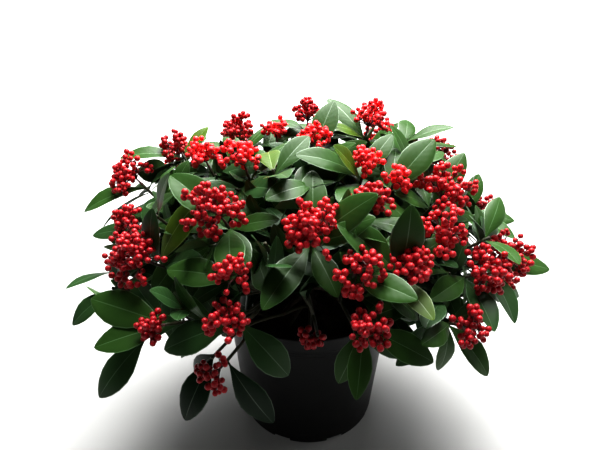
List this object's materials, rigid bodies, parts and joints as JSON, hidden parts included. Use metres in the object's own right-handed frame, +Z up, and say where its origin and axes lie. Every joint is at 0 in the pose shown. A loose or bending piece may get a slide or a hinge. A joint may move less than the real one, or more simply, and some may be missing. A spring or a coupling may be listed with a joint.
{
  "type": "potted skimmia",
  "caption": "Low, wide evergreen skimmia shrub with heads of red berries over whorls of glossy leaves, growing in a round black container pot.",
  "frame": {"origin": "middle of the pot's flat underside", "axes": "+Z up along the pot's axis, -Y towards the front of the plant, +X to its right as seen from the front"},
  "size_m": [0.5845, 0.4709, 0.4409],
  "materials": {
    "pot": "plain black moulded plastic, slightly satin",
    "compost": "dark brown crumbly compost",
    "bark": "smooth grey-brown bark",
    "foliage": "glossy dark green leaves with bright red berries"
  },
  "bodies": {
    "root": {"pot": "pot", "compost": "compost", "stem_1": "bark", "stem_2": "bark", "stem_3": "bark", "stem_4": "bark", "stem_5": "bark", "bough_front_low": "bark", "bough_front_left": "bark", "bough_front_right": "bark", "bough_front": "bark", "bough_upper_front_right": "bark", "bough_right": "bark", "bough_right_front_low": "bark", "bough_back_1": "bark", "bough_right_front": "bark", "bough_right_high": "bark", "bough_back_2": "bark", "bough_top_right": "bark", "bough_top": "bark", "bough_back_3": "bark", "bough_back_4": "bark", "bough_top_left": "bark", "bough_left_front_low": "bark", "bough_left": "bark", "bough_back_5": "bark", "bough_left_front": "bark", "bough_upper_left": "bark", "bough_upper_front_left": "bark", "foliage_front": "foliage", "foliage_front_low": "foliage", "foliage_front_left": "foliage", "foliage_front_right": "foliage", "foliage_left_front_low": "foliage", "foliage_left_front": "foliage", "foliage_left": "foliage", "foliage_upper_left": "foliage", "foliage_upper_front_left": "foliage", "foliage_top_left": "foliage", "foliage_top": "foliage", "foliage_top_right": "foliage", "foliage_upper_front_right": "foliage", "foliage_right_high": "foliage", "foliage_right_front": "foliage", "foliage_right_front_low": "foliage", "foliage_right": "foliage", "foliage_back_1": "foliage", "foliage_back_2": "foliage", "foliage_back_3": "foliage", "foliage_back_4": "foliage", "foliage_back_5": "foliage"}
  },
  "joints": []
}
